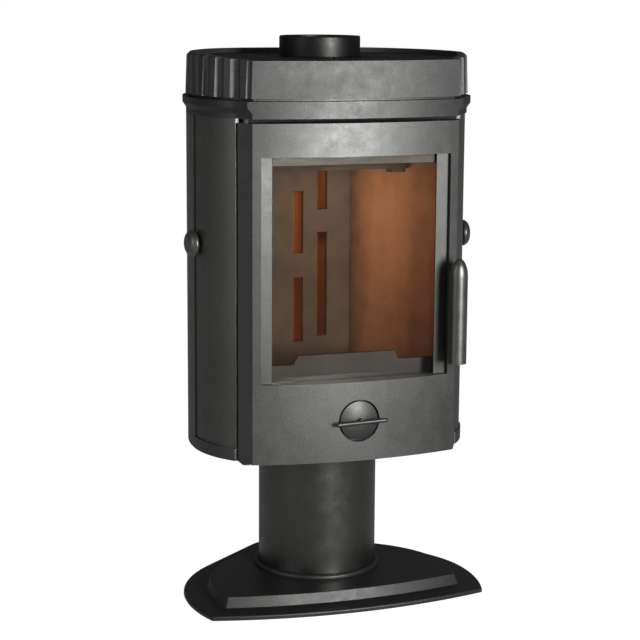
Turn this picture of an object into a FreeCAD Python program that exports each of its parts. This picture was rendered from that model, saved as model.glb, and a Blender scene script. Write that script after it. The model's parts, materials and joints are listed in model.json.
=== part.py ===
import FreeCAD, Part
import math
import os

# A wood burning stove on a round pedestal: a curved base plate, a tube column, a cast
# body with a bowed door, a fluted crown and a flue collar. Millimetres, +Z up. The origin
# is on the floor under the column's axis and the door faces -Y.

os.makedirs("parts", exist_ok=True)
V = FreeCAD.Vector

# Heights
SLAB_TOP = 9.0
PLATEAU_TOP = 29.0
BODY_BOTTOM = 288.0
LEDGE_TOP = 311.0
DOOR_TOP = 895.5
BODY_TOP = 903.0
FLANGE_CHAMFER_TOP = 921.5
FLANGE_TOP = 933.5
CROWN_BOTTOM = 938.5
CROWN_FRONT_TOP = 1003.0
CROWN_RIM_TOP = 1012.0
TOTAL_HEIGHT = 1040.0

# Plan of the body: half outline as points with their outward directions
CORNER = (193.0, -209.7)
FRONT_BOW = 24.9
SIDE_POINTS = [
    ((210.0, -177.0), (0.87, -0.50)),
    ((247.0, -119.0), (0.93, -0.37)),
    ((259.0, -45.0), (1.00, 0.03)),
    ((242.5, 48.0), (0.94, 0.34)),
    ((203.0, 122.0), (0.80, 0.60)),
    ((160.0, 170.0), (0.60, 0.80)),
    ((95.0, 198.0), (0.10, 1.00)),
]
FRONT_NORMAL = (0.254, -0.967)
RETURN_NORMAL = (0.887, -0.461)
FLANGE_OVERHANG = 6.5
CASING_WALL = 5.0
PANEL_INSET = 3.0
PANEL_REAR_Y = -60.0
PANEL_FRONT_Y = -170.5

# Base
BASE_CORNER = (265.0, -197.0)
BASE_BOW = 36.0
BASE_FRONT_NORMAL = (0.269, -0.963)
BASE_SIDE_NORMAL = (0.97, -0.24)
BASE_POINTS = [
    ((281.5, -122.0), (0.99, -0.12)),
    ((277.0, -39.0), (0.95, 0.30)),
    ((240.0, 44.0), (0.84, 0.54)),
    ((190.0, 99.0), (0.70, 0.71)),
    ((70.0, 203.0), (0.60, 0.80)),
    ((36.0, 220.5), (0.35, 0.93)),
]
BASE_BACK_Y = 226.0
SLAB_BEVEL = 2.0
PLATEAU_INSET = 42.0
PLATEAU_BEVEL = 8.0

# Column
COLUMN_R = 112.4
COLUMN_WALL = 4.0
RING_R = 121.0
RING_HEIGHT = 8.7
COLUMN_FLANGE = 8.0
COLUMN_FLANGE_BORE = 60.0
COLUMN_BOLT_CIRCLE = 84.0
COLUMN_BOLTS = 6
M10_R = 5.0

# Door
DOOR_BACK_Y = -177.0
DOOR_WALL = 8.0
OPENING_HALF = 178.0
OPENING_BOTTOM = 433.0
OPENING_TOP = 837.0
GLASS_FRONT_Y = -200.0
GLASS_T = 4.0
GLASS_HALF = 180.0
GLASS_BOTTOM = 426.0
GLASS_TOP = 844.0
TRIM_WIDTH = 24.0
TRIM_T = 3.0
ROPE_HALF = 195.2
ROPE_WIDTH = 7.0
HINGE_X = -198.0
HINGE_Y = -188.0
HINGE_PIN_R = 4.0

# Front frame
FRAME_FRONT_Y = -171.0
FRAME_T = 8.0
FRAME_HALF = 204.5
FRAME_OPENING_HALF = 170.0
FRAME_OPENING_BOTTOM = 424.0
FRAME_OPENING_TOP = 845.0
ASH_OPENING_HALF = 122.0
ASH_OPENING_BOTTOM = 300.0
ASH_OPENING_TOP = 388.0

# Firebox
FIREBOX_FRONT_Y = FRAME_FRONT_Y + FRAME_T
FIREBOX_BACK_Y = 50.0
FIREBOX_FRONT_HALF = 172.0
FIREBOX_BACK_HALF = 80.0
LINER_SHIFT = 27.0
LINER_TOP = 836.0
BACK_PLATE_T = 14.0
AIR_BOX_DEPTH = 40.0
SHELL_WALL = 5.0
SHELL_TOP = 860.0
HEARTH_BOTTOM = 400.0
HEARTH_TOP = 408.0
SLOT_WIDTH = 20.0
SLOT_X = 24.0
BAFFLE_BOTTOM = 800.0

# Air control
AIR_Z = 362.0
AIR_HOLE_R = 38.9
AIR_DISC_R = 36.0
AIR_BAR_HALF = 48.5
AIR_BAR_R = 4.2
AIR_BAR_Y = -250.0
AIR_BAR_TILT = 2.0
PORT_PLATE_BACK_Y = -219.0
SPINDLE_R = 5.0

# Handle
SHAFT_X = 187.0
SHAFT_Z = 630.0
SHAFT_R = 4.0
GRIP_X = 183.0
GRIP_Y = -248.5
GRIP_R = 15.8
GRIP_BOTTOM = 459.0
GRIP_TOP = 651.0
GRIP_DOME = 34.0
KNUCKLE_R = 8.0
KNUCKLE_BACK_Y = -214.9
SHAFT_FRONT_Y = -249.0
SHAFT_BACK_Y = -164.5
CAM_FRONT_Y = -170.8
CAM_T = 5.0
CAM_R = 7.0
CAM_LENGTH = 34.0

# Side knobs
KNOB_BASE = (258.0, -70.6, 672.0)
KNOB_TURN = -9.0
KNOB_R = 24.5
KNOB_HEIGHT = 18.0
KNOB_STUD = 24.0
KNOB_FACE_R = 9.5
KNOB_STUD_R = 4.0

# Crown
CROWN_WALL = 18.0
FLUTE_R = 12.0
FLUTE_STAND_OFF = 4.5
FLUTE_FIRST = 42.0
FLUTE_PITCH = 35.5
TOP_PLATE_T = 6.0

# Flue
FLUE_R = 75.0
FLUE_BORE_R = 70.0
FLUE_FLANGE_R = 96.0
FLUE_FLANGE_T = 8.0
FLUE_BOLT_CIRCLE = 86.0
FLUE_CHAMFER = 1.5
SPIGOT_BOTTOM = CROWN_FRONT_TOP + 0.5
M8_R = 4.0

CLEARANCE = 0.05


# --- helpers ---------------------------------------------------------------

def box(x0, x1, y0, y1, z0, z1):
    return Part.makeBox(x1 - x0, y1 - y0, z1 - z0, V(x0, y0, z0))


def cylinder(radius, start, end):
    axis = end - start
    return Part.makeCylinder(radius, axis.Length, start, axis)


def tube(outer, inner, start, end):
    return cylinder(outer, start, end).cut(cylinder(inner, start, end))


def line(a, b):
    return Part.makeLine(a, b)


def arc(a, mid, b):
    return Part.Arc(a, mid, b).toShape()


def mirrored(point):
    return V(-point.x, point.y, point.z)


def mirror_x(shape):
    return shape.mirror(V(0, 0, 0), V(1, 0, 0))


def both_sides(shape):
    return Part.makeCompound([shape, mirror_x(shape)])


def fuse_all(shapes):
    result = shapes[0]
    for shape in shapes[1:]:
        result = result.fuse(shape)
    return result.removeSplitter()


def outline_edges(front_mid, right_edges):
    """The whole closed outline from the front arc and the right-hand edges, front to back."""
    first = right_edges[0][0]
    last = right_edges[-1][-1]
    edges = [arc(mirrored(first), front_mid, first)]
    for points in right_edges:
        edges.append(arc(*points) if len(points) == 3 else line(*points))
    if last.x > 0.01:
        edges.append(line(last, mirrored(last)))
    for points in reversed(right_edges):
        flipped = [mirrored(point) for point in reversed(points)]
        edges.append(arc(*flipped) if len(flipped) == 3 else line(*flipped))
    return edges


def moved_corner(corner, front_normal, side_normal, front, side):
    """Corner where the front moves out by front and the side moves out by side."""
    (a, b), (c, d) = front_normal, side_normal
    det = a * d - b * c
    return corner[0] + (front * d - side * b) / det, corner[1] + (side * a - front * c) / det


def body_right_edges(side, front, z):
    x, y = moved_corner(CORNER, FRONT_NORMAL, RETURN_NORMAL, -front, side)
    corner = V(x, y, z)
    points = [V(p[0] + side * n[0], p[1] + side * n[1], z) for p, n in SIDE_POINTS]
    return [
        (corner, points[0]),
        (points[0], points[1], points[2]),
        (points[2], points[3], points[4]),
        (points[4], points[5], points[6]),
    ]


def body_wire(side=0.0, front=0.0, z=0.0):
    """Body outline in plan, grown sideways by side and set back at the front by front."""
    middle = V(0, CORNER[1] - FRONT_BOW + front, z)
    return Part.Wire(outline_edges(middle, body_right_edges(side, front, z)))


def body_prism(z0, z1, side=0.0, front=0.0):
    return Part.Face(body_wire(side, front, z0)).extrude(V(0, 0, z1 - z0))


def body_loft(z0, side0, z1, side1, front1=0.0):
    return Part.makeLoft([body_wire(side0, 0, z0), body_wire(side1, front1, z1)], True, True)


def inner_prism(wall, z0, z1):
    """The body outline moved inwards by wall all round."""
    return body_prism(z0, z1, -wall, wall)


def base_wire(z, inset=0.0):
    points = [V(p[0] - inset * n[0], p[1] - inset * n[1], z) for p, n in BASE_POINTS]
    x, y = moved_corner(BASE_CORNER, BASE_FRONT_NORMAL, BASE_SIDE_NORMAL, -inset, -inset)
    right = [
        (V(x, y, z), points[0], points[1]),
        (points[1], points[2], points[3]),
        (points[3], points[4]),
        (points[4], points[5], V(0, BASE_BACK_Y - inset, z)),
    ]
    return Part.Wire(outline_edges(V(0, BASE_CORNER[1] - BASE_BOW + inset, z), right))


def prism(points, z0, z1):
    wire = Part.makePolygon([V(x, y, z0) for x, y in points + points[:1]])
    return Part.Face(wire).extrude(V(0, 0, z1 - z0))


def trapezium(front_half, back_half, y_front, y_back, z0, z1):
    points = [(-front_half, y_front), (front_half, y_front), (back_half, y_back), (-back_half, y_back)]
    return prism(points, z0, z1)


def circle_points(count, radius, phase=0.0):
    for k in range(count):
        angle = math.radians(phase + 360.0 * k / count)
        yield radius * math.cos(angle), radius * math.sin(angle)


def hex_bolt(x, y, z_head, z_tip, radius, head_height):
    """Hexagon bolt whose head starts at z_head and whose shank runs to z_tip."""
    direction = 1.0 if z_tip > z_head else -1.0
    corners = [V(x + px, y + py, z_head) for px, py in circle_points(6, 2 * radius * 0.95)]
    head = Part.Face(Part.makePolygon(corners + corners[:1])).extrude(V(0, 0, direction * head_height))
    shank = cylinder(radius, V(x, y, z_head), V(x, y, z_tip))
    return head.fuse(shank)


def save(name, shape):
    shape.exportStep("parts/" + name + ".step")


# --- pedestal ---------------------------------------------------------------

def base_plate():
    slab = Part.Face(base_wire(0)).extrude(V(0, 0, SLAB_TOP - SLAB_BEVEL))
    bevel = Part.makeLoft([base_wire(SLAB_TOP - SLAB_BEVEL), base_wire(SLAB_TOP, SLAB_BEVEL)], True, True)
    foot = base_wire(SLAB_TOP, PLATEAU_INSET)
    crest = base_wire(PLATEAU_TOP, PLATEAU_INSET + PLATEAU_BEVEL)
    plate = fuse_all([slab, bevel, Part.makeLoft([foot, crest], True, True)])
    for x, y in circle_points(COLUMN_BOLTS, COLUMN_BOLT_CIRCLE):
        plate = plate.cut(cylinder(M10_R, V(x, y, -1), V(x, y, PLATEAU_TOP + 1)))
        plate = plate.cut(cylinder(11.0, V(x, y, -1), V(x, y, 8.0)))
    return plate


def foot_bolts():
    bolts = []
    for x, y in circle_points(COLUMN_BOLTS, COLUMN_BOLT_CIRCLE):
        bolts.append(hex_bolt(x, y, 2.0, PLATEAU_TOP + COLUMN_FLANGE + 12.0, M10_R, 6.0))
    return Part.makeCompound(bolts)


def nuts(z, height):
    found = []
    for x, y in circle_points(COLUMN_BOLTS, COLUMN_BOLT_CIRCLE):
        corners = [V(x + px, y + py, z) for px, py in circle_points(6, 9.5)]
        nut = Part.Face(Part.makePolygon(corners + corners[:1])).extrude(V(0, 0, height))
        found.append(nut.cut(cylinder(M10_R, V(x, y, z), V(x, y, z + height))))
    return Part.makeCompound(found)


def base_ring():
    """Half-round bead that hides the joint between the column and the base."""
    z0 = PLATEAU_TOP
    a = V(COLUMN_R + CLEARANCE, 0, z0)
    b = V(RING_R, 0, z0)
    c = V(RING_R, 0, z0 + 2.0)
    d = V(COLUMN_R + CLEARANCE, 0, z0 + RING_HEIGHT)
    bulge = V(RING_R - 1.6, 0, z0 + RING_HEIGHT - 1.6)
    face = Part.Face(Part.Wire([line(a, b), line(b, c), arc(c, bulge, d), line(d, a)]))
    return face.revolve(V(0, 0, 0), V(0, 0, 1), 360)


def pedestal_column():
    top = BODY_BOTTOM
    column = tube(COLUMN_R, COLUMN_R - COLUMN_WALL, V(0, 0, PLATEAU_TOP), V(0, 0, top))
    foot = tube(COLUMN_R - 1, COLUMN_FLANGE_BORE, V(0, 0, PLATEAU_TOP), V(0, 0, PLATEAU_TOP + COLUMN_FLANGE))
    head = tube(COLUMN_R - 1, COLUMN_FLANGE_BORE, V(0, 0, top - COLUMN_FLANGE), V(0, 0, top))
    column = fuse_all([column, foot, head])
    for x, y in circle_points(COLUMN_BOLTS, COLUMN_BOLT_CIRCLE):
        column = column.cut(cylinder(M10_R, V(x, y, PLATEAU_TOP - 1), V(x, y, top + 1)))
    return column


def head_bolts():
    bolts = []
    for x, y in circle_points(COLUMN_BOLTS, COLUMN_BOLT_CIRCLE):
        start = BODY_BOTTOM - COLUMN_FLANGE - 6.0
        bolts.append(hex_bolt(x, y, start, BODY_BOTTOM + 8.0, M10_R, 6.0))
    return Part.makeCompound(bolts)


# --- body casing ---------------------------------------------------------------

def floor_casting():
    """Bottom casting: a plate with a raised ledge round the sides and back."""
    plate = body_prism(BODY_BOTTOM, BODY_BOTTOM + 8.0)
    ledge = body_prism(BODY_BOTTOM, LEDGE_TOP).cut(inner_prism(14.0, BODY_BOTTOM, LEDGE_TOP))
    ledge = ledge.cut(box(-FRAME_HALF - 0.5, FRAME_HALF + 0.5, -300, -140, BODY_BOTTOM + 8.0, LEDGE_TOP))
    casting = plate.fuse(ledge).cut(box(-300, 300, -300, FRAME_FRONT_Y, 0, 400))
    for x, y in circle_points(COLUMN_BOLTS, COLUMN_BOLT_CIRCLE):
        casting = casting.cut(cylinder(M10_R, V(x, y, 280), V(x, y, 300)))
    for x in (-44.0, 0.0, 44.0):
        casting = casting.cut(box(x - 14, x + 14, 130, 146, 280, 300))
    return casting.removeSplitter()


def casing_band(side, z0, z1):
    return body_prism(z0, z1, side).cut(body_prism(z0, z1, side - CASING_WALL, CASING_WALL))


def on_knob_axis(shape):
    """Moves a shape made along +X at the origin onto the right-hand knob's axis."""
    shape.rotate(V(0, 0, 0), V(0, 0, 1), KNOB_TURN)
    shape.translate(V(*KNOB_BASE))
    return shape


def side_panel():
    """Right-hand removable side panel; it sits a little inside the ledge and the flange."""
    band = casing_band(-PANEL_INSET, LEDGE_TOP, BODY_TOP)
    panel = band.common(box(100, 300, PANEL_FRONT_Y, PANEL_REAR_Y - 0.5, LEDGE_TOP, BODY_TOP))
    hole = on_knob_axis(cylinder(KNOB_STUD_R + CLEARANCE, V(-30, 0, 0), V(10, 0, 0)))
    return panel.cut(hole)


def rear_casing():
    band = casing_band(0, LEDGE_TOP, BODY_TOP)
    casing = band.common(box(-300, 300, PANEL_REAR_Y, 300, LEDGE_TOP, BODY_TOP))
    for k in range(9):
        z = 360.0 + 18.0 * k
        casing = casing.cut(box(-60, 60, 150, 250, z, z + 7.0))
    return casing


def front_frame():
    frame = box(-FRAME_HALF, FRAME_HALF, FRAME_FRONT_Y, FIREBOX_FRONT_Y, BODY_BOTTOM + 8.0, BODY_TOP)
    fire = box(-FRAME_OPENING_HALF, FRAME_OPENING_HALF, -300, 0, FRAME_OPENING_BOTTOM, FRAME_OPENING_TOP)
    ash = box(-ASH_OPENING_HALF, ASH_OPENING_HALF, -300, 0, ASH_OPENING_BOTTOM, ASH_OPENING_TOP)
    notch_top = SHAFT_Z + CAM_LENGTH + 16
    latch_notch = box(160, SHAFT_X + CAM_R + 1.2, -300, 0, SHAFT_Z - 24, notch_top)
    return frame.cut(fire).cut(ash).cut(latch_notch)


def top_flange():
    """Casting between the body and the crown: rail, chamfer, band and a set-back seat."""
    rail = body_prism(BODY_TOP, 912.0)
    chamfer = body_loft(912.0, 0.0, FLANGE_CHAMFER_TOP, FLANGE_OVERHANG)
    band = body_prism(FLANGE_CHAMFER_TOP, FLANGE_TOP, FLANGE_OVERHANG)
    seat = body_prism(FLANGE_TOP, CROWN_BOTTOM, -9.0, 11.0)
    casting = fuse_all([rail, chamfer, band, seat])
    casting = casting.cut(inner_prism(45.0, BODY_TOP - 1, CROWN_BOTTOM + 1))
    pin = cylinder(HINGE_PIN_R, V(HINGE_X, HINGE_Y, 890), V(HINGE_X, HINGE_Y, 915))
    return casting.cut(pin)


def outline_station(distance):
    """Point and outward direction on the right side, distance along from the front corner."""
    edges = [arc(*p) if len(p) == 3 else line(*p) for p in body_right_edges(0, 0, 0)]
    for edge in edges:
        if distance <= edge.Length:
            at = edge.FirstParameter + (edge.LastParameter - edge.FirstParameter) * distance / edge.Length
            point = edge.valueAt(at)
            tangent = edge.tangentAt(at)
            normal = V(tangent.y, -tangent.x, 0)
            centre = V(0, -20, 0)
            if normal.dot(point - centre) < 0:
                normal = normal * -1
            return point, normal
        distance -= edge.Length
    return None


def flute_cutter(x, y, radius):
    return cylinder(radius, V(x, y, CROWN_BOTTOM - 1), V(x, y, CROWN_RIM_TOP + 5))


def flute_cutters():
    cutters = []
    distance = FLUTE_FIRST
    while True:
        station = outline_station(distance)
        if station is None:
            break
        point, normal = station
        centre = point + normal * FLUTE_STAND_OFF
        cutter = flute_cutter(centre.x, centre.y, FLUTE_R)
        cutters += [cutter, mirror_x(cutter)]
        distance += FLUTE_PITCH
    corner_point, corner_normal = outline_station(9.0)
    corner = corner_point + corner_normal * 3.0
    small = flute_cutter(corner.x, corner.y, 7.0)
    cutters += [small, mirror_x(small)]
    for k in range(-2, 3):
        cutters.append(flute_cutter(k * FLUTE_PITCH, SIDE_POINTS[-1][0][1] + FLUTE_STAND_OFF, FLUTE_R))
    return cutters


def crown():
    """Fluted crown ring; its rim slopes down to the lower, smooth front panel."""
    lower = body_loft(CROWN_BOTTOM, 1.0, 1006.0, -1.5, 1.5)
    upper = body_loft(1006.0, -1.5, CROWN_RIM_TOP, -7.5, 1.5)
    ring = lower.fuse(upper)
    ring = ring.cut(inner_prism(CROWN_WALL, CROWN_BOTTOM - 1, CROWN_RIM_TOP + 5))
    slope = [(-300, CROWN_FRONT_TOP), (-185, CROWN_FRONT_TOP), (-85, CROWN_RIM_TOP)]
    slope += [(-85, 1100), (-300, 1100), slope[0]]
    side_view = Part.makePolygon([V(-300, y, z) for y, z in slope])
    ring = ring.cut(Part.Face(side_view).extrude(V(600, 0, 0)))
    for cutter in flute_cutters():
        ring = ring.cut(cutter)
    return ring.removeSplitter()


def top_plate():
    """Slotted top plate inside the crown, with the hole that the flue collar passes."""
    z0 = CROWN_FRONT_TOP - TOP_PLATE_T
    plate = inner_prism(CROWN_WALL, z0, CROWN_FRONT_TOP)
    plate = plate.cut(cylinder(FLUE_R + 1.0, V(0, 0, z0 - 1), V(0, 0, CROWN_FRONT_TOP + 1)))
    slot = box(96, 150, -5, 5, z0 - 1, CROWN_FRONT_TOP + 1)
    for k in range(24):
        turned = slot.copy()
        turned.rotate(V(0, 0, 0), V(0, 0, 1), 15.0 * k + 7.5)
        plate = plate.cut(turned)
    return plate


# --- firebox ---------------------------------------------------------------

def firebox_outline(grow):
    """Plan of the firebox: splayed sides and a square air box at the back."""
    front = FIREBOX_FRONT_HALF + LINER_SHIFT + grow
    back = FIREBOX_BACK_HALF + LINER_SHIFT + grow
    deep = FIREBOX_BACK_Y + AIR_BOX_DEPTH + grow
    right = [(front, FIREBOX_FRONT_Y), (back, FIREBOX_BACK_Y), (back, deep)]
    left = [(-x, y) for x, y in reversed(right)]
    return right + left


def firebox_shell():
    """Bent steel firebox with the air box behind its back plate, open towards the frame."""
    z0 = BODY_BOTTOM + 8.0
    outside = prism(firebox_outline(SHELL_WALL), z0, SHELL_TOP)
    return outside.cut(prism(firebox_outline(0), z0, SHELL_TOP))


def firebox_top():
    plate = prism(firebox_outline(SHELL_WALL), SHELL_TOP, SHELL_TOP + 6.0)
    return plate.cut(cylinder(FLUE_BORE_R, V(0, 0, SHELL_TOP - 1), V(0, 0, SHELL_TOP + 7)))


def side_liner():
    """Right-hand refractory liner."""
    y0 = FIREBOX_FRONT_Y
    y1 = FIREBOX_BACK_Y
    points = [
        (FIREBOX_FRONT_HALF, y0), (FIREBOX_FRONT_HALF + LINER_SHIFT, y0),
        (FIREBOX_BACK_HALF + LINER_SHIFT, y1), (FIREBOX_BACK_HALF, y1),
    ]
    return prism(points, HEARTH_TOP, LINER_TOP)


def back_plate():
    """Slotted plate through which the heated air enters the fire."""
    half = FIREBOX_BACK_HALF + LINER_SHIFT
    y0 = FIREBOX_BACK_Y
    plate = box(-half, half, y0, y0 + BACK_PLATE_T, HEARTH_TOP, LINER_TOP)
    slots = [(-SLOT_X, 455, 580), (-SLOT_X, 627, 746), (SLOT_X, 464, 666), (SLOT_X, 710, 789)]
    for x, z0, z1 in slots:
        plate = plate.cut(box(x - SLOT_WIDTH / 2, x + SLOT_WIDTH / 2, y0 - 1, y0 + BACK_PLATE_T + 1, z0, z1))
    return plate


def hearth_plate():
    plate = trapezium(
        FIREBOX_FRONT_HALF + LINER_SHIFT, FIREBOX_BACK_HALF + LINER_SHIFT,
        FIREBOX_FRONT_Y, FIREBOX_BACK_Y, HEARTH_BOTTOM, HEARTH_TOP)
    tail_half = FIREBOX_BACK_HALF + LINER_SHIFT
    tail_back = FIREBOX_BACK_Y + BACK_PLATE_T
    plate = plate.fuse(box(-tail_half, tail_half, FIREBOX_BACK_Y, tail_back, HEARTH_BOTTOM, HEARTH_TOP))
    return plate.removeSplitter().cut(box(-70, 70, -115, 15, HEARTH_BOTTOM - 1, HEARTH_TOP + 1))


def fire_grate():
    grate = box(-80, 80, -125, 25, HEARTH_TOP, HEARTH_TOP + 10.0)
    for k in range(-4, 5):
        x = 15.0 * k
        grate = grate.cut(box(x - 4, x + 4, -112, 12, HEARTH_TOP - 1, HEARTH_TOP + 11))
    return grate


def log_guard():
    """Low guard at the mouth of the firebox with a raised middle."""
    y0 = FIREBOX_FRONT_Y
    side_top = 456.0
    middle_top = 472.0
    outline = [
        (-168, HEARTH_TOP), (168, HEARTH_TOP), (168, side_top), (102, side_top), (93, middle_top),
        (-93, middle_top), (-102, side_top), (-168, side_top),
    ]
    points = [V(x, y0, z) for x, z in outline]
    return Part.Face(Part.makePolygon(points + points[:1])).extrude(V(0, 8, 0))


def baffle_plate():
    top = BAFFLE_BOTTOM + 10.0
    return trapezium(140.0, FIREBOX_BACK_HALF - 0.5, -100.0, FIREBOX_BACK_Y, BAFFLE_BOTTOM, top)


def liner_face_x(y):
    slope = (FIREBOX_FRONT_HALF - FIREBOX_BACK_HALF) / (FIREBOX_BACK_Y - FIREBOX_FRONT_Y)
    return FIREBOX_FRONT_HALF - slope * (y - FIREBOX_FRONT_Y)


def baffle_brackets():
    """Two lugs on each liner that carry the baffle."""
    lugs = []
    for y in (-80.0, 20.0):
        front = liner_face_x(y - 8.0)
        back = liner_face_x(y + 8.0)
        points = [(front, y - 8), (back, y + 8), (back - 26, y + 8), (front - 26, y - 8)]
        lug = prism(points, BAFFLE_BOTTOM - 8.0, BAFFLE_BOTTOM)
        lugs += [lug, mirror_x(lug)]
    return Part.makeCompound(lugs)


def ash_pan():
    x, y0, y1 = 116.0, -158.0, 20.0
    pan = box(-x, x, y0, y1, BODY_BOTTOM + 13.0, 372.0)
    pan = pan.cut(box(-x + 2, x - 2, y0 + 2, y1 - 2, BODY_BOTTOM + 15.0, 380.0))
    lip = box(-30, 30, y0 - 4.0, y0, 352.0, 355.0)
    return pan.fuse(lip).removeSplitter()


def ash_pan_rails():
    rail = box(-105, -90, -160, 18, BODY_BOTTOM + 8.0, BODY_BOTTOM + 13.0)
    return both_sides(rail)


def flue_collar():
    """Flanged casting; the turned spigot above the top plate takes the flue pipe."""
    flange_z = SHELL_TOP + 6.0
    neck = cylinder(FLUE_R - 1.0, V(0, 0, flange_z), V(0, 0, SPIGOT_BOTTOM))
    spigot = cylinder(FLUE_R, V(0, 0, SPIGOT_BOTTOM), V(0, 0, TOTAL_HEIGHT))
    rim = [e for e in spigot.Edges if e.BoundBox.ZMin > TOTAL_HEIGHT - 0.01]
    spigot = spigot.makeChamfer(FLUE_CHAMFER, rim)
    flange = cylinder(FLUE_FLANGE_R, V(0, 0, flange_z), V(0, 0, flange_z + FLUE_FLANGE_T))
    collar = fuse_all([neck, spigot, flange])
    collar = collar.cut(cylinder(FLUE_BORE_R, V(0, 0, flange_z), V(0, 0, TOTAL_HEIGHT)))
    for x, y in circle_points(4, FLUE_BOLT_CIRCLE, 45.0):
        collar = collar.cut(cylinder(M8_R, V(x, y, flange_z - 1), V(x, y, flange_z + 9)))
    return collar.removeSplitter()


def flue_bolts():
    base = SHELL_TOP + 6.0
    head = base + FLUE_FLANGE_T + 5.0
    spots = circle_points(4, FLUE_BOLT_CIRCLE, 45.0)
    return Part.makeCompound([hex_bolt(x, y, head, base, M8_R, 5.0) for x, y in spots])


# --- door ---------------------------------------------------------------

def door_prism(z0, z1, wall=0.0):
    """Plan of the door: bowed front, splayed returns and a flat back."""
    front = CORNER[1] + wall
    half = CORNER[0] - wall
    bow = FRONT_BOW
    left = V(-half, front, z0)
    right = V(half, front, z0)
    slope = (SIDE_POINTS[0][0][0] - CORNER[0]) / (SIDE_POINTS[0][0][1] - CORNER[1])
    back_half = half + slope * (DOOR_BACK_Y - front)
    edges = [
        arc(left, V(0, front - bow, z0), right),
        line(right, V(back_half, DOOR_BACK_Y, z0)),
        line(V(back_half, DOOR_BACK_Y, z0), V(-back_half, DOOR_BACK_Y, z0)),
        line(V(-back_half, DOOR_BACK_Y, z0), left),
    ]
    return Part.Face(Part.Wire(edges)).extrude(V(0, 0, z1 - z0))


def door_casting():
    door = door_prism(BODY_BOTTOM, DOOR_TOP)
    door = door.cut(door_prism(BODY_BOTTOM + 9.0, OPENING_BOTTOM - 9.0, DOOR_WALL).common(
        box(-190, 190, -300, 0, 0, 1000)))
    door = door.cut(door_prism(OPENING_TOP + 9.0, DOOR_TOP - 9.0, DOOR_WALL).common(
        box(-190, 190, -300, 0, 0, 1000)))
    door = door.cut(box(-OPENING_HALF, OPENING_HALF, -300, 0, OPENING_BOTTOM, OPENING_TOP))
    door = door.cut(box(-GLASS_HALF - 1, GLASS_HALF + 1, GLASS_FRONT_Y, 0, GLASS_BOTTOM - 1, GLASS_TOP + 1))
    boss = cylinder(52.0, V(0, -232, AIR_Z), V(0, PORT_PLATE_BACK_Y - 3.0, AIR_Z))
    door = door.fuse(boss)
    door = door.cut(cylinder(AIR_HOLE_R, V(0, -300, AIR_Z), V(0, -200, AIR_Z)))
    door = door.cut(cylinder(SHAFT_R + CLEARANCE, V(SHAFT_X, -300, SHAFT_Z), V(SHAFT_X, -150, SHAFT_Z)))
    for z0, z1 in ((BODY_BOTTOM - 1, BODY_BOTTOM + 14), (DOOR_TOP - 14, DOOR_TOP + 1)):
        door = door.cut(cylinder(HINGE_PIN_R + CLEARANCE, V(HINGE_X, HINGE_Y, z0), V(HINGE_X, HINGE_Y, z1)))
    return door.removeSplitter()


def door_glass():
    return box(-GLASS_HALF, GLASS_HALF, GLASS_FRONT_Y, GLASS_FRONT_Y + GLASS_T, GLASS_BOTTOM, GLASS_TOP)


def glass_trim():
    """Right-hand strip that covers the glass's edge, in front of the glass."""
    trim = box(OPENING_HALF - TRIM_WIDTH, OPENING_HALF, GLASS_FRONT_Y - TRIM_T, GLASS_FRONT_Y,
               OPENING_BOTTOM, OPENING_TOP)
    front = [e for e in trim.Edges if e.BoundBox.YMax < GLASS_FRONT_Y - TRIM_T + 0.01]
    return trim.makeChamfer(0.8, [e for e in front if e.BoundBox.ZLength > 300])


def glass_retainer():
    """Right-hand rail behind the glass."""
    back = GLASS_FRONT_Y + GLASS_T
    return box(164.0, GLASS_HALF + 1.0, back, back + 4.0, GLASS_BOTTOM + 2.0, GLASS_TOP - 2.0)


def airwash_plate():
    """Bent deflector behind the top of the glass that sends clean air down it."""
    back = GLASS_FRONT_Y + GLASS_T + 1.0
    face = box(-163.0, 163.0, back, back + 2.5, 819.0, GLASS_TOP + 1.0)
    shelf = box(-163.0, 163.0, back, back + 12.0, GLASS_TOP - 1.5, GLASS_TOP + 1.0)
    return face.fuse(shelf).removeSplitter()


def door_seal():
    """Rope seal in a closed rectangle on the door's back."""
    y0 = DOOR_BACK_Y
    y1 = FRAME_FRONT_Y - 0.3
    half_w = ROPE_WIDTH / 2
    z0 = BODY_BOTTOM + 4.0
    z1 = DOOR_TOP - 4.5
    outer = box(-ROPE_HALF - half_w, ROPE_HALF + half_w, y0, y1, z0 - half_w, z1 + half_w)
    inner = box(-ROPE_HALF + half_w, ROPE_HALF - half_w, y0, y1, z0 + half_w, z1 - half_w)
    return outer.cut(inner)


def hinge_pins():
    """Upper pin held in the flange, lower pin on a bracket under the floor casting."""
    spans = [(BODY_BOTTOM - 0.5, BODY_BOTTOM + 13.0), (DOOR_TOP - 13.0, 915.0)]
    pins = [cylinder(HINGE_PIN_R, V(HINGE_X, HINGE_Y, z0), V(HINGE_X, HINGE_Y, z1)) for z0, z1 in spans]
    return Part.makeCompound(pins)


def hinge_bracket():
    z0, z1 = BODY_BOTTOM - 3.0, BODY_BOTTOM - 0.5
    arm = box(HINGE_X - 8, HINGE_X + 8, HINGE_Y, -140.0, z0, z1)
    eye = cylinder(8.0, V(HINGE_X, HINGE_Y, z0), V(HINGE_X, HINGE_Y, z1))
    pad = box(HINGE_X - 8, HINGE_X + 8, FRAME_FRONT_Y + 0.5, -140.0, z1, BODY_BOTTOM)
    return fuse_all([arm, eye, pad])


# --- air control ---------------------------------------------------------------

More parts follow.
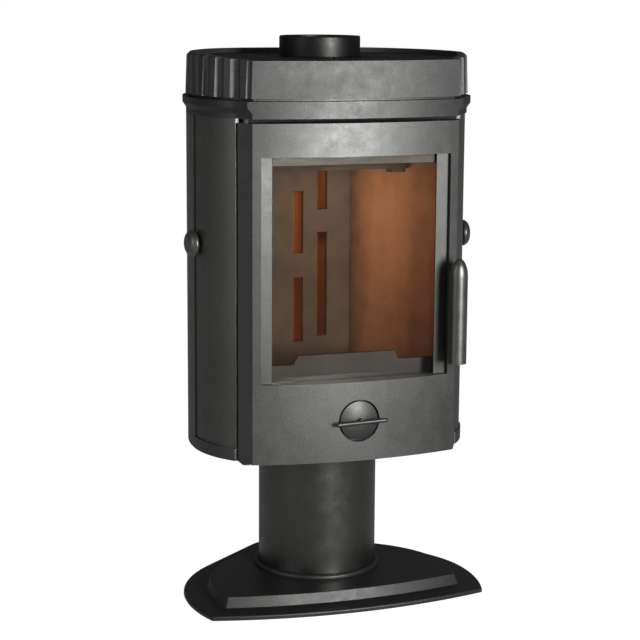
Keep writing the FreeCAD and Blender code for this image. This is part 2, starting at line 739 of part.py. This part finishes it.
def sector(inner, outer, start, end, y0, y1):
    """Sector of a ring about the air control's axis, between two angles in degrees."""
    def at(radius, angle):
        turn = math.radians(angle)
        return V(radius * math.cos(turn), y0, AIR_Z + radius * math.sin(turn))

    middle = (start + end) / 2
    wire = Part.Wire([
        line(at(inner, start), at(outer, start)), arc(at(outer, start), at(outer, middle), at(outer, end)),
        line(at(outer, end), at(inner, end)), arc(at(inner, end), at(inner, middle), at(inner, start)),
    ])
    return Part.Face(wire).extrude(V(0, y1 - y0, 0))


def air_port_plate():
    y0, y1 = PORT_PLATE_BACK_Y - 3.0, PORT_PLATE_BACK_Y
    plate = cylinder(50.0, V(0, y0, AIR_Z), V(0, y1, AIR_Z))
    plate = plate.cut(cylinder(SPINDLE_R + CLEARANCE, V(0, y0 - 1, AIR_Z), V(0, y1 + 1, AIR_Z)))
    for k in range(3):
        start = 60.0 + 120.0 * k
        plate = plate.cut(sector(12.0, 32.0, start, start + 60.0, y0 - 1, y1 + 1))
    return plate


def air_shutter():
    y0, y1 = PORT_PLATE_BACK_Y + 0.4, PORT_PLATE_BACK_Y + 2.4
    shutter = cylinder(35.0, V(0, y0, AIR_Z), V(0, y1, AIR_Z))
    shutter = shutter.cut(cylinder(SPINDLE_R, V(0, y0 - 1, AIR_Z), V(0, y1 + 1, AIR_Z)))
    for k in range(3):
        start = 2.0 + 120.0 * k
        shutter = shutter.cut(sector(12.0, 32.0, start, start + 56.0, y0 - 1, y1 + 1))
    return shutter


def air_disc():
    """Slightly domed disc in the door's round opening."""
    rim_y = -233.0
    back_y = -229.0
    dome_y = -238.5
    a = V(0, back_y, AIR_Z)
    b = V(AIR_DISC_R, back_y, AIR_Z)
    c = V(AIR_DISC_R, rim_y, AIR_Z)
    d = V(0, dome_y, AIR_Z)
    rise = rim_y - dome_y
    sphere_r = (AIR_DISC_R ** 2 + rise ** 2) / (2 * rise)
    half = AIR_DISC_R / 2
    bend = V(half, dome_y + sphere_r - math.sqrt(sphere_r ** 2 - half ** 2), AIR_Z)
    face = Part.Face(Part.Wire([line(a, b), line(b, c), arc(c, bend, d), line(d, a)]))
    return face.revolve(V(0, 0, AIR_Z), V(0, 1, 0), 360)


def air_bar():
    """Handle bar across the disc on a short post."""
    ends = [V(s * (AIR_BAR_HALF - AIR_BAR_R), AIR_BAR_Y, AIR_Z) for s in (-1, 1)]
    rod = cylinder(AIR_BAR_R, ends[0], ends[1])
    tips = [Part.makeSphere(AIR_BAR_R, end) for end in ends]
    post = cylinder(6.0, V(0, AIR_BAR_Y, AIR_Z), V(0, -230.0, AIR_Z))
    bar = fuse_all([rod] + tips + [post.cut(air_disc())])
    bar.rotate(V(0, 0, AIR_Z), V(0, -1, 0), AIR_BAR_TILT)
    return bar


def air_spindle():
    y_back = PORT_PLATE_BACK_Y + 12.0
    return cylinder(SPINDLE_R, V(0, -229.0, AIR_Z), V(0, y_back, AIR_Z))


def air_nut():
    y0 = PORT_PLATE_BACK_Y + 2.4
    corners = [V(px, y0, AIR_Z + pz) for px, pz in circle_points(6, 9.5)]
    nut = Part.Face(Part.makePolygon(corners + corners[:1])).extrude(V(0, 6, 0))
    return nut.cut(cylinder(SPINDLE_R, V(0, y0 - 1, AIR_Z), V(0, y0 + 8, AIR_Z)))


# --- handle ---------------------------------------------------------------

def handle_grip():
    """Round upright grip with a long domed top and a knuckle that reaches back to the shaft."""
    shoulder = V(GRIP_X, GRIP_Y, GRIP_TOP - GRIP_DOME)
    bar = cylinder(GRIP_R, V(GRIP_X, GRIP_Y, GRIP_BOTTOM), shoulder)
    side = shoulder + V(GRIP_R, 0, 0)
    top = V(GRIP_X, GRIP_Y, GRIP_TOP)
    oval = Part.Ellipse(top, side, shoulder)
    profile = Part.Wire([oval.toShape(0, math.pi / 2), line(side, shoulder), line(shoulder, top)])
    dome = Part.Face(profile).revolve(shoulder, V(0, 0, 1), 360)
    knuckle_x = SHAFT_X - 1
    knuckle = cylinder(KNUCKLE_R, V(knuckle_x, GRIP_Y, SHAFT_Z), V(knuckle_x, KNUCKLE_BACK_Y, SHAFT_Z))
    return fuse_all([bar, dome, knuckle]).cut(handle_shaft())


def handle_shaft():
    return cylinder(SHAFT_R, V(SHAFT_X, SHAFT_FRONT_Y, SHAFT_Z), V(SHAFT_X, SHAFT_BACK_Y, SHAFT_Z))


def latch_cam():
    """Arm in the frame's notch that draws the door shut."""
    y0 = CAM_FRONT_Y
    y1 = y0 + CAM_T
    tip_z = SHAFT_Z + CAM_LENGTH
    hub = cylinder(CAM_R, V(SHAFT_X, y0, SHAFT_Z), V(SHAFT_X, y1, SHAFT_Z))
    arm = box(SHAFT_X - CAM_R, SHAFT_X + CAM_R, y0, y1, SHAFT_Z, tip_z)
    tip = cylinder(CAM_R, V(SHAFT_X, y0, tip_z), V(SHAFT_X, y1, tip_z))
    return fuse_all([hub, arm, tip]).cut(handle_shaft())


# --- side knobs ---------------------------------------------------------------

def side_knob():
    """Right-hand domed knob with its threaded stud, made along +X and turned into place."""
    a = V(0, 0, 0)
    b = V(0, 0, 14.0)
    c = V(2.5, 0, KNOB_R - 3.0)
    d = V(7.5, 0, KNOB_R)
    e = V(KNOB_HEIGHT, 0, KNOB_FACE_R)
    f = V(KNOB_HEIGHT, 0, 0)
    bend_low = V(4.4, 0, KNOB_R - 0.9)
    bend_high = V(14.6, 0, 19.6)
    profile = [line(a, b), line(b, c), arc(c, bend_low, d), arc(d, bend_high, e), line(e, f), line(f, a)]
    knob = Part.Face(Part.Wire(profile)).revolve(a, V(1, 0, 0), 360)
    stud = cylinder(KNOB_STUD_R, V(-KNOB_STUD, 0, 0), V(1, 0, 0))
    return on_knob_axis(knob.fuse(stud))


def save_pair(name, right_shape):
    save(name + "_right", right_shape)
    save(name + "_left", mirror_x(right_shape))


save("base_plate", base_plate())
save("foot_bolts", foot_bolts())
save("foot_nuts", nuts(PLATEAU_TOP + COLUMN_FLANGE, 8.0))
save("base_ring", base_ring())
save("pedestal_column", pedestal_column())
save("head_bolts", head_bolts())
save("floor_casting", floor_casting())
save_pair("side_panel", side_panel())
save("rear_casing", rear_casing())
save("front_frame", front_frame())
save("top_flange", top_flange())
save("crown", crown())
save("top_plate", top_plate())
save("firebox_shell", firebox_shell())
save("firebox_top", firebox_top())
save_pair("side_liner", side_liner())
save("back_plate", back_plate())
save("hearth_plate", hearth_plate())
save("fire_grate", fire_grate())
save("log_guard", log_guard())
save("baffle_plate", baffle_plate())
save("baffle_brackets", baffle_brackets())
save("ash_pan", ash_pan())
save("ash_pan_rails", ash_pan_rails())
save("flue_collar", flue_collar())
save("flue_bolts", flue_bolts())
save("hinge_pins", hinge_pins())
save("hinge_bracket", hinge_bracket())
save("door_casting", door_casting())
save("door_glass", door_glass())
save_pair("glass_trim", glass_trim())
save_pair("glass_retainer", glass_retainer())
save("airwash_plate", airwash_plate())
save("door_seal", door_seal())
save("air_port_plate", air_port_plate())
save("air_shutter", air_shutter())
save("air_disc", air_disc())
save("air_bar", air_bar())
save("air_spindle", air_spindle())
save("air_nut", air_nut())
save("handle_grip", handle_grip())
save("handle_shaft", handle_shaft())
save("latch_cam", latch_cam())
save_pair("side_knob", side_knob())
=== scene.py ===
import bpy
import bmesh
import json
import math
from mathutils import Matrix, Vector

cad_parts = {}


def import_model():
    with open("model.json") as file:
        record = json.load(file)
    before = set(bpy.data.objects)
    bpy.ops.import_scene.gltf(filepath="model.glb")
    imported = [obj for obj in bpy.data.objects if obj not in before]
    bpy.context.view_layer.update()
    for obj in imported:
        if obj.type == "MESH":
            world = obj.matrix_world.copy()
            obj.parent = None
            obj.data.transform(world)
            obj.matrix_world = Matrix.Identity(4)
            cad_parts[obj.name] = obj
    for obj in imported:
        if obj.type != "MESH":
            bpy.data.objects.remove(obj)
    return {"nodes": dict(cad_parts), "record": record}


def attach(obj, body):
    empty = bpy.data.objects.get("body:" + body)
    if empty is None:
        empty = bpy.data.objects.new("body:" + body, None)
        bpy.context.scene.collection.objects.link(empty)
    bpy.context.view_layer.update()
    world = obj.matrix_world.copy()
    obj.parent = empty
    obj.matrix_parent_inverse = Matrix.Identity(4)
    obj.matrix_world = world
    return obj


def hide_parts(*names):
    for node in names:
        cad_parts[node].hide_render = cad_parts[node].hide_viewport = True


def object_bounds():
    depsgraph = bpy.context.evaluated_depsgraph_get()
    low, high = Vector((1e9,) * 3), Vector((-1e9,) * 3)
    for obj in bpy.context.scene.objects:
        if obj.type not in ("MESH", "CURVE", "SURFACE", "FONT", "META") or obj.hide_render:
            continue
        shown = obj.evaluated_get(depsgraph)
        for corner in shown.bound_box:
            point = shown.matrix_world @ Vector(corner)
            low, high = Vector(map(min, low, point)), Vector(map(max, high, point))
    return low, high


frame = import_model()
CAD_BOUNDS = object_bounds()
NODES = frame["nodes"]
BODIES = frame["record"]["behaviour"]["bodies"]
BODY_OF = {node: body for body, nodes in BODIES.items() for node in nodes}

# The view: angles in degrees, lengths in metres, the lens and sensor in millimetres.
VIEW_AZIMUTH = -18.88
VIEW_ELEVATION = 10.378
VIEW_ROLL = 0.364
VIEW_DISTANCE = 3.49835
VIEW_TARGET_SIDE = 0.003858
VIEW_TARGET_HEIGHT = 0.504894
LENS = 103.44
SENSOR = 36.0

# How white the floor and the sky are to the camera, how much light they give, and the floor's size.
FLOOR_GLOW_SEEN = 0.98
FLOOR_GLOW_GIVEN = 0.15
SKY_SEEN = 1.0
SKY_GIVEN = 0.08
FLOOR_HALF_SIZE = 14.0
FLOOR_DROP = 0.0005

# Where painted shade darkens the liners: towards the back corner and lower down, below their brightest lit
# part.
SHADE_Y_FROM = -0.015
SHADE_Y_TO = 0.048
SHADE_Z_FROM = 0.62
SHADE_Z_TO = 0.42
PAINTED_SHADE_BROWN = (0.10, 0.062, 0.038)

# Cosine of the angle between the rounded and the flat normal, where a corner is all or not at all rubbed.
RUBBED_FULL = 0.86
RUBBED_NONE = 0.985

# What counts as a corner or as flat, and how a corner is rounded.
CORNER_ANGLE = math.radians(30.0)
FLAT_ANGLE = math.radians(0.4)
BEVEL_SEGMENTS = 3
SAME_POINT = 1e-6


# --- node helpers ------------------------------------------------------------

class Shader:
    """A material's node tree with short ways to add and join nodes."""

    def __init__(self, name):
        self.material = bpy.data.materials.new(name)
        self.material.use_nodes = True
        self.tree = self.material.node_tree
        self.tree.nodes.clear()
        self.output = self.tree.nodes.new("ShaderNodeOutputMaterial")
        self.coords = self.add("ShaderNodeTexCoord").outputs["Object"]

    def add(self, kind, **settings):
        node = self.tree.nodes.new(kind)
        for key, value in settings.items():
            setattr(node, key, value)
        return node

    def join(self, source, target):
        self.tree.links.new(source, target)

    def place(self, stretch):
        """The object's coordinates, scaled per axis where a stretch is given."""
        if not stretch:
            return self.coords
        mapping = self.add("ShaderNodeMapping")
        mapping.inputs["Scale"].default_value = stretch
        self.join(self.coords, mapping.inputs["Vector"])
        return mapping.outputs["Vector"]

    def noise(self, scale, detail, roughness, stretch=None):
        node = self.add("ShaderNodeTexNoise")
        node.inputs["Scale"].default_value = scale
        node.inputs["Detail"].default_value = detail
        node.inputs["Roughness"].default_value = roughness
        self.join(self.place(stretch), node.inputs["Vector"])
        return node.outputs["Fac"]

    def spots(self, scale, stretch=None):
        node = self.add("ShaderNodeTexVoronoi")
        node.inputs["Scale"].default_value = scale
        self.join(self.place(stretch), node.inputs["Vector"])
        return node.outputs["Distance"]

    def math(self, operation, a, b):
        node = self.add("ShaderNodeMath", operation=operation)
        self.join(a, node.inputs[0])
        if isinstance(b, float):
            node.inputs[1].default_value = b
        else:
            self.join(b, node.inputs[1])
        return node.outputs["Value"]

    def spread(self, source, low, high, to_low, to_high):
        node = self.add("ShaderNodeMapRange")
        for index, value in enumerate((low, high, to_low, to_high), 1):
            node.inputs[index].default_value = value
        self.join(source, node.inputs["Value"])
        return node.outputs["Result"]

    def blend(self, factor, first, second):
        """A colour mix; the colour sockets of the Mix node are numbers 6 and 7."""
        node = self.add("ShaderNodeMix", data_type="RGBA", blend_type="MIX")
        self.join(factor, node.inputs[0])
        for index, value in ((6, first), (7, second)):
            if isinstance(value, tuple):
                node.inputs[index].default_value = value + (1.0,)
            else:
                self.join(value, node.inputs[index])
        return node.outputs[2]

    def bump(self, height, strength, distance, under=None):
        node = self.add("ShaderNodeBump")
        node.inputs["Strength"].default_value = strength
        node.inputs["Distance"].default_value = distance
        self.join(height, node.inputs["Height"])
        if under:
            self.join(under, node.inputs["Normal"])
        return node.outputs["Normal"]

    def edges(self, radius):
        """0 on faces and 1 along corners, from how far a rounded normal leans from the flat one."""
        rounded = self.add("ShaderNodeBevel", samples=4)
        rounded.inputs["Radius"].default_value = radius
        geometry = self.add("ShaderNodeNewGeometry")
        dot = self.add("ShaderNodeVectorMath", operation="DOT_PRODUCT")
        self.join(rounded.outputs["Normal"], dot.inputs[0])
        self.join(geometry.outputs["Normal"], dot.inputs[1])
        return self.spread(dot.outputs["Value"], RUBBED_NONE, RUBBED_FULL, 0.0, 1.0)

    def surface(self, color, roughness, normal=None, **fixed):
        shader = self.add("ShaderNodeBsdfPrincipled")
        for key, value in fixed.items():
            shader.inputs[key.replace("_", " ")].default_value = value
        for name, value in (("Base Color", color), ("Roughness", roughness), ("Normal", normal)):
            if value is not None:
                self.join(value, shader.inputs[name])
        self.join(shader.outputs["BSDF"], self.output.inputs["Surface"])
        return shader


def shade(color, factor):
    """The same hue made darker or lighter, kept below white."""
    return tuple(min(1.0, factor * c) for c in color)


def coated_metal(name, base, roughness, grain, peel, wear=0.35, metallic=0.85, specular=0.3):
    """Satin heat-resistant coat: a fine cast grain under it, faint stains, and rubbed corners."""
    s = Shader(name)
    broad = s.noise(5.0, 5.0, 0.6)
    cloud = s.noise(38.0, 4.0, 0.6)
    fine = s.noise(950.0, 3.0, 0.7)
    grains = s.noise(330.0, 2.0, 0.6)
    pits = s.spots(520.0)
    color = s.blend(s.spread(broad, 0.3, 0.7, 0.0, 1.0), shade(base, 0.80), shade(base, 1.22))
    color = s.blend(s.spread(cloud, 0.35, 0.7, 0.0, 0.35), color, shade(base, 1.10))
    color = s.blend(s.spread(fine, 0.35, 0.75, 0.0, 0.45), color, shade(base, 1.55))
    color = s.blend(s.spread(grains, 0.42, 0.68, 0.0, 0.5), color, shade(base, 0.72))
    rubbed = s.math("MULTIPLY", s.edges(0.0016), s.spread(cloud, 0.38, 0.62, 0.25, 1.0))
    color = s.blend(s.math("MULTIPLY", rubbed, wear), color, shade(base, 3.2))
    rough = s.spread(cloud, 0.3, 0.7, roughness - 0.05, roughness + 0.06)
    rough = s.math("ADD", rough, s.spread(fine, 0.3, 0.7, -0.04, 0.04))
    height = s.math("ADD", s.math("MULTIPLY", fine, 0.5), s.math("MULTIPLY", pits, 0.4))
    height = s.math("ADD", height, s.math("MULTIPLY", grains, 0.9))
    normal = s.bump(height, grain, 0.0004)
    normal = s.bump(s.noise(70.0, 3.0, 0.5), peel, 0.0008, normal)
    s.surface(color, rough, normal, Metallic=metallic, Specular_IOR_Level=specular)
    return s.material


def refractory(name, base, soot, corner=0.0):
    """Pressed fire-proof board: sandy and stained by the fire, with painted shade low down and at the back
    corner.
    """
    s = Shader(name)
    broad = s.noise(4.5, 5.0, 0.6)
    cloud = s.noise(24.0, 5.0, 0.65)
    sand = s.noise(1400.0, 2.0, 0.6)
    color = s.blend(s.spread(broad, 0.32, 0.68, 0.0, 1.0), shade(base, 0.72), base)
    color = s.blend(s.spread(cloud, 0.45, 0.72, 0.0, soot), color, shade(base, 0.30))
    color = s.blend(s.spread(sand, 0.35, 0.7, 0.0, 0.2), color, shade(base, 1.3))
    # Painted shade: darker towards the back corner and lower down, in uneven patches.
    if corner:
        place = s.add("ShaderNodeSeparateXYZ")
        s.join(s.coords, place.inputs["Vector"])
        back_corner_shade = s.spread(place.outputs["Y"], SHADE_Y_FROM, SHADE_Y_TO, 0.0, corner)
        below = s.spread(place.outputs["Z"], SHADE_Z_FROM, SHADE_Z_TO, 0.0, 0.45 * corner)
        patchy = s.spread(cloud, 0.3, 0.6, 0.8, 1.0)
        painted_shade = s.math("MULTIPLY", s.math("MAXIMUM", back_corner_shade, below), patchy)
        color = s.blend(painted_shade, color, PAINTED_SHADE_BROWN)
    normal = s.bump(sand, 0.15, 0.0003)
    normal = s.bump(cloud, 0.12, 0.001, normal)
    rough = s.spread(cloud, 0.3, 0.7, 0.82, 0.96)
    s.surface(color, rough, normal, Specular_IOR_Level=0.25)
    return s.material


def satin_steel(name, base, roughness, stretch, wear):
    """Turned or brushed steel, its fine lines longest along the axis with the smallest stretch."""
    s = Shader(name)
    lines = s.noise(900.0, 3.0, 0.6, stretch)
    cloud = s.noise(60.0, 4.0, 0.6)
    color = s.blend(s.spread(lines, 0.35, 0.65, 0.0, 0.6), shade(base, 0.82), base)
    color = s.blend(s.spread(cloud, 0.4, 0.7, 0.0, 0.3), color, shade(base, 0.7))
    edge = s.math("MULTIPLY", s.edges(0.0008), wear)
    color = s.blend(edge, color, shade(base, 1.6))
    rough = s.spread(lines, 0.3, 0.7, roughness - 0.06, roughness + 0.08)
    normal = s.bump(lines, 0.12, 0.0003)
    s.surface(color, rough, normal, Metallic=1.0)
    return s.material


def ceramic_glass(name):
    """Ceramic pane: clear, with a faint warm film of soot and a clean gloss."""
    s = Shader(name)
    film = s.noise(7.0, 5.0, 0.6)
    streak = s.noise(14.0, 1.0, 0.4, (1.0, 1.0, 0.3))
    tint = s.blend(s.spread(film, 0.3, 0.7, 0.0, 1.0), (0.88, 0.85, 0.82), (0.94, 0.92, 0.90))
    clear = s.add("ShaderNodeBsdfTransparent")
    s.join(tint, clear.inputs["Color"])
    soot = s.add("ShaderNodeBsdfDiffuse")
    s.join(s.blend(streak, (0.020, 0.014, 0.010), (0.05, 0.035, 0.025)), soot.inputs["Color"])
    gloss = s.add("ShaderNodeBsdfGlossy")
    gloss.inputs["Color"].default_value = (0.45, 0.45, 0.45, 1.0)
    s.join(s.spread(streak, 0.3, 0.7, 0.02, 0.06), gloss.inputs["Roughness"])
    fresnel = s.add("ShaderNodeFresnel")
    fresnel.inputs["IOR"].default_value = 1.5
    hazy = s.add("ShaderNodeMixShader")
    s.join(s.spread(streak, 0.35, 0.7, 0.01, 0.04), hazy.inputs[0])
    s.join(clear.outputs["BSDF"], hazy.inputs[1])
    s.join(soot.outputs["BSDF"], hazy.inputs[2])
    glass = s.add("ShaderNodeMixShader")
    s.join(fresnel.outputs["Fac"], glass.inputs[0])
    s.join(hazy.outputs["Shader"], glass.inputs[1])
    s.join(gloss.outputs["BSDF"], glass.inputs[2])
    s.join(glass.outputs["Shader"], s.output.inputs["Surface"])
    return s.material


def rope_fibre(name):
    """Woven glass-fibre rope, grey with sooty hollows."""
    s = Shader(name)
    weave = s.spots(420.0, (1.0, 1.0, 0.55))
    dirt = s.noise(30.0, 4.0, 0.6)
    color = s.blend(s.spread(weave, 0.1, 0.6, 0.0, 1.0), (0.11, 0.105, 0.10), (0.34, 0.33, 0.31))
    color = s.blend(s.spread(dirt, 0.4, 0.7, 0.0, 0.6), color, (0.06, 0.055, 0.05))
    rough = s.spread(dirt, 0.3, 0.7, 0.85, 0.98)
    s.surface(color, rough, s.bump(weave, 0.8, 0.001), Sheen_Weight=0.3)
    return s.material


# Each coat: its linear colour, its roughness, and how strongly its grain and its ripples stand out.
IRON = coated_metal("iron_coat", (0.118, 0.119, 0.115), 0.46, 0.30, 0.05)
SHEET = coated_metal("sheet_coat", (0.138, 0.139, 0.132), 0.42, 0.20, 0.03)
CROWN = coated_metal("crown_coat", (0.110, 0.111, 0.108), 0.58, 0.30, 0.05)
BASE = coated_metal("base_coat", (0.080, 0.081, 0.078), 0.46, 0.30, 0.05)
TUBE = coated_metal("tube_coat", (0.125, 0.126, 0.120), 0.34, 0.15, 0.02, metallic=0.95)
FLUE = coated_metal("flue_coat", (0.038, 0.038, 0.036), 0.44, 0.20, 0.03, metallic=0.9)
TOP = coated_metal("top_coat", (0.022, 0.022, 0.021), 0.55, 0.30, 0.05, metallic=0.5, specular=0.15)
GRATE = coated_metal(
    "raw_casting", (0.075, 0.070, 0.066), 0.66, 0.7, 0.35, wear=0.2, metallic=0.0, specular=0.5)
GRIP = coated_metal("grip_coat", (0.17, 0.17, 0.165), 0.36, 0.10, 0.02, wear=0.3, metallic=0.9)
# Each board: its linear colour, how strong its soot clouds are, and how dark the painted shade at its back
# corner is.
LINER = refractory("liner_board", (0.84, 0.41, 0.20), 0.30, 0.85)
BACK = refractory("back_board", (0.158, 0.116, 0.080), 0.5)
HEATED = refractory("heat_tinted_steel", (0.92, 0.32, 0.08), 0.2)
TRIM = coated_metal("trim_coat", (0.079, 0.079, 0.075), 0.42, 0.12, 0.02, wear=0.3, metallic=0.8)
ZINC = satin_steel("plated_steel", (0.52, 0.52, 0.53), 0.38, (1.0, 1.0, 0.3), wear=0.25)
GUARD = coated_metal("guard_steel", (0.075, 0.074, 0.070), 0.42, 0.15, 0.05, wear=0.3, metallic=0.7)
GLASS = ceramic_glass("ceramic_glass")
ROPE = rope_fibre("fibre_rope")


# --- pieces ------------------------------------------------------------

def mesh_of(node):
    """A cleaned copy of a CAD node's mesh: flat areas are single faces and curved ones keep theirs."""
    work = bmesh.new()
    work.from_mesh(NODES[node].data)
    bmesh.ops.remove_doubles(work, verts=work.verts, dist=SAME_POINT)
    bmesh.ops.dissolve_limit(
        work, angle_limit=FLAT_ANGLE, verts=work.verts, edges=work.edges, delimit={"NORMAL"})
    mesh = bpy.data.meshes.new(node + "_looks")
    work.to_mesh(mesh)
    work.free()
    return mesh


def soften(piece, width):
    """Rounds the sharp corners, as a casting or a bent sheet has them, and shades the rest smoothly."""
    bevel = piece.modifiers.new("rounded_edges", "BEVEL")
    bevel.width = width
    bevel.segments = BEVEL_SEGMENTS
    bevel.limit_method = "ANGLE"
    bevel.angle_limit = CORNER_ANGLE
    bevel.use_clamp_overlap = True
    bevel.harden_normals = True
    even = piece.modifiers.new("even_normals", "WEIGHTED_NORMAL")
    even.keep_sharp = True


def refined(node, material, width):
    """The visual piece of one CAD node, on the node's body and in its place."""
    mesh = mesh_of(node)
    mesh.materials.append(material)
    piece = bpy.data.objects.new(mesh.name, mesh)
    bpy.context.scene.collection.objects.link(piece)
    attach(piece, BODY_OF[node])
    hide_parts(node)
    mesh.set_sharp_from_angle(angle=CORNER_ANGLE)
    mesh.shade_smooth()
    soften(piece, width)


# Material, corner radius in metres, and the nodes that have them.
REFINED = [
    (IRON, 0.0016, "floor_casting door_casting"),
    (BASE, 0.0016, "base_plate"),
    (BASE, 0.0006, "top_flange"),
    (CROWN, 0.0004, "crown"),
    (BASE, 0.0010, "base_ring air_disc"),
    # front_frame wears the near-black top coat as painted shade, so the gap above the door reads dark.
    (TOP, 0.0009, "top_plate front_frame"),
    (FLUE, 0.0009, "flue_collar"),
    (TUBE, 0.0009, "pedestal_column"),
    (SHEET, 0.0008, "side_panel_left side_panel_right rear_casing"),
    (HEATED, 0.0005, "firebox_shell"),
    (SHEET, 0.0005, "firebox_top hinge_bracket air_port_plate air_shutter ash_pan ash_pan_rails"),
    (GUARD, 0.0008, "log_guard airwash_plate"),
    (GRATE, 0.0008, "fire_grate latch_cam hinge_pins"),
    (LINER, 0.0010, "side_liner_left side_liner_right hearth_plate"),
    (BACK, 0.0010, "back_plate baffle_plate baffle_brackets"),
    (TRIM, 0.0005, "glass_trim_left glass_trim_right"),
    (ZINC, 0.0005, "glass_retainer_left glass_retainer_right handle_shaft air_spindle"),
    (ZINC, 0.0006, "foot_bolts foot_nuts head_bolts flue_bolts air_nut"),
    (GRIP, 0.0010, "handle_grip"),
    (TRIM, 0.0004, "air_bar"),
    (GRIP, 0.0005, "side_knob_left side_knob_right"),
    (GLASS, 0.0004, "door_glass"),
    (ROPE, 0.0015, "door_seal"),
]

for material, width, names in REFINED:
    for node in names.split():
        refined(node, material, width)


# --- stage, light and camera ------------------------------------------------------------

def floor_stage():
    """A pale matt floor that glows white to the camera and only faintly lights the stove."""
    work = bmesh.new()
    bmesh.ops.create_grid(work, x_segments=8, y_segments=8, size=FLOOR_HALF_SIZE)
    mesh = bpy.data.meshes.new("studio_floor")
    work.to_mesh(mesh)
    work.free()
    floor = bpy.data.objects.new("studio_floor", mesh)
    floor.location.z = CAD_BOUNDS[0][2] - FLOOR_DROP
    bpy.context.scene.collection.objects.link(floor)
    s = Shader("studio_floor")
    tone = s.noise(1.5, 3.0, 0.5)
    color = s.blend(s.spread(tone, 0.3, 0.7, 0.0, 1.0), (0.30, 0.30, 0.30), (0.33, 0.33, 0.33))
    shader = s.surface(color, s.spread(tone, 0.3, 0.7, 0.75, 0.85), Specular_IOR_Level=0.0)
    shader.inputs["Emission Color"].default_value = (1.0, 1.0, 1.0, 1.0)
    path = s.add("ShaderNodeLightPath")
    glow = s.spread(path.outputs["Is Camera Ray"], 0.0, 1.0, FLOOR_GLOW_GIVEN, FLOOR_GLOW_SEEN)
    s.join(glow, shader.inputs["Emission Strength"])
    mesh.materials.append(s.material)


def area_light(name, place, target, size, power, tone=(1.0, 1.0, 1.0), spread=180.0):
    """A rectangular lamp at place, facing target, with its beam spread in degrees."""
    data = bpy.data.lights.new(name, "AREA")
    data.shape = "RECTANGLE"
    data.size, data.size_y = size
    data.energy = power
    data.color = tone
    data.spread = math.radians(spread)
    light = bpy.data.objects.new(name, data)
    light.location = place
    light.rotation_euler = (Vector(target) - Vector(place)).to_track_quat("-Z", "Y").to_euler()
    bpy.context.scene.collection.objects.link(light)


def camera():
    """A long lens in front and to the left of the stove, a little above it and rolled slightly."""
    azimuth = math.radians(VIEW_AZIMUTH)
    elevation = math.radians(VIEW_ELEVATION)
    roll = math.radians(VIEW_ROLL)
    level = math.cos(elevation)
    back = Vector((math.sin(azimuth) * level, -math.cos(azimuth) * level, math.sin(elevation)))
    side = VIEW_TARGET_SIDE
    target = Vector((side * math.cos(azimuth), side * math.sin(azimuth), VIEW_TARGET_HEIGHT))
    right = Vector((0, 0, 1)).cross(back).normalized()
    up = back.cross(right)
    turned_right = math.cos(roll) * right + math.sin(roll) * up
    turned_up = math.cos(roll) * up - math.sin(roll) * right
    data = bpy.data.cameras.new("photo_view")
    data.sensor_width = SENSOR
    data.lens = LENS
    view = bpy.data.objects.new("photo_view", data)
    rotation = Matrix((turned_right, turned_up, back)).transposed()
    view.matrix_world = Matrix.Translation(target + VIEW_DISTANCE * back) @ rotation.to_4x4()
    bpy.context.scene.collection.objects.link(view)
    bpy.context.scene.camera = view


def world():
    """A sky that is white to the camera and gives the stove a weak even light."""
    sky = bpy.data.worlds.new("studio")
    sky.use_nodes = True
    tree = sky.node_tree
    background = tree.nodes["Background"]
    background.inputs["Color"].default_value = (1.0, 1.0, 1.0, 1.0)
    path = tree.nodes.new("ShaderNodeLightPath")
    strength = tree.nodes.new("ShaderNodeMapRange")
    strength.inputs["To Min"].default_value = SKY_GIVEN
    strength.inputs["To Max"].default_value = SKY_SEEN
    tree.links.new(path.outputs["Is Camera Ray"], strength.inputs["Value"])
    tree.links.new(strength.outputs["Result"], background.inputs["Strength"])
    bpy.context.scene.world = sky


bpy.context.scene.view_settings.view_transform = "Standard"
floor_stage()
camera()
world()
# Place, target and size in metres, power in watts.
area_light("key", (0.66, -2.95, 1.12), (0, 0, 0.82), (0.7, 1.1), 11, spread=60.0)
area_light("front_fill", (1.2, -3.4, 1.5), (0, 0, 0.5), (2.0, 2.0), 6)
area_light("left_fill", (-3.2, -1.2, 1.3), (0, 0, 0.6), (1.2, 2.2), 12)
area_light("firebox_lamp", (-0.05, -0.10, 0.770), (0.13, -0.02, 0.66), (0.10, 0.05), 0.118, (1.0, 0.86, 0.72))
area_light("air_box_lamp", (-0.098, 0.078, 0.62), (0.1, 0.078, 0.62), (0.02, 0.40), 0.10, (1.0, 0.62, 0.34))
